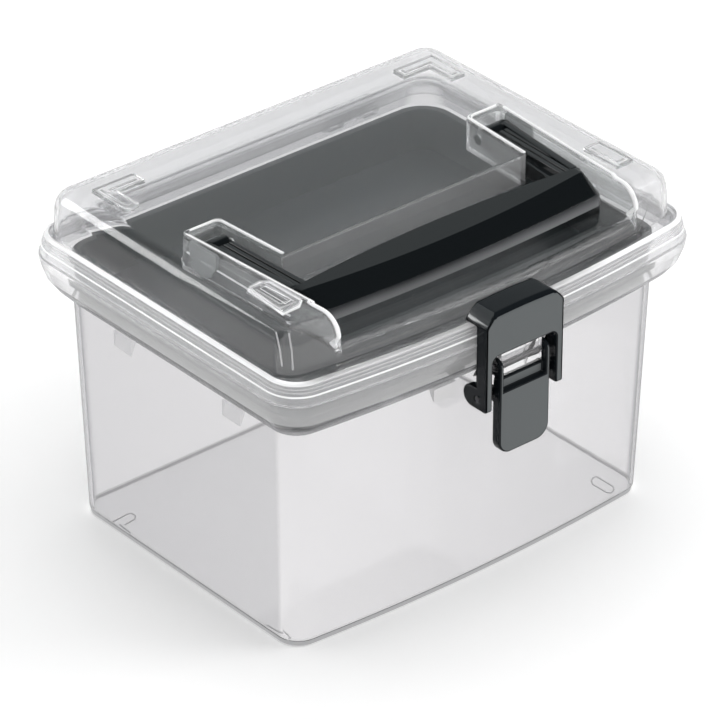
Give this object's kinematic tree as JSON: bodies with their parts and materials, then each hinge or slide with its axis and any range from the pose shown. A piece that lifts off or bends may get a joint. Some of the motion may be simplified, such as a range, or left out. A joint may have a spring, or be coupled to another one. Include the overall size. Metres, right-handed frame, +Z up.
{
  "type": "photo keeper case",
  "caption": "Clear keeper case for photo prints with a hinged domed lid, folding carry handle, lift-out tray and front draw latch.",
  "frame": {"origin": "middle of the flat base, on the surface the case stands on", "axes": "+X to the right along the front, -Y out of the front where the latch is, +Z up"},
  "size_m": [0.25, 0.2209, 0.1772],
  "materials": {
    "clear_bin": "clear moulded plastic, smooth",
    "clear_lid": "clear moulded plastic, smooth",
    "smoke_tray": "see-through smoke-grey plastic",
    "black_handle": "polished black plastic",
    "black_latch": "satin black plastic with polished edges",
    "steel_pin": "plain drawn steel pin",
    "black_pin": "black plastic pin"
  },
  "bodies": {
    "case": {"bin": "clear_bin", "lever_pin": "steel_pin", "hinge_pin_left": "steel_pin", "hinge_pin_right": "steel_pin"},
    "lid": {"lid": "clear_lid", "handle_pin_left": "black_pin", "handle_pin_right": "black_pin"},
    "tray": {"tray": "smoke_tray"},
    "handle": {"handle": "black_handle"},
    "lever": {"latch_lever": "black_latch"},
    "hook": {"latch_hook": "black_latch", "hook_pin": "steel_pin"}
  },
  "joints": [
    {"name": "lid_hinge", "type": "hinge", "parent": "case", "child": "lid", "pos_m": [0, 0.102, 0.142], "axis": [-1, 0, 0], "range_deg": [0, 105]},
    {"name": "tray_lift", "type": "slide", "parent": "case", "child": "tray", "axis": [0, 0, 1], "range_m": [0, 0.061]},
    {"name": "handle_fold", "type": "hinge", "parent": "lid", "child": "handle", "pos_m": [0, 0.0028, 0.1672], "axis": [-1, 0, 0], "range_deg": [0, 90]},
    {"name": "lever_pull", "type": "hinge", "parent": "case", "child": "lever", "pos_m": [0, -0.1102, 0.1299], "axis": [-1, 0, 0], "range_deg": [0, 120]},
    {"name": "hook_swing", "type": "hinge", "parent": "lever", "child": "hook", "pos_m": [0, -0.1084, 0.1153], "axis": [-1, 0, 0], "range_deg": [-139, 0]}
  ],
  "couplings": [
    {"joint": "tray_lift", "follows": "lid_hinge", "m_per_rad": 0.033},
    {"joint": "hook_swing", "follows": "lever_pull", "ratio": -1.15}
  ]
}
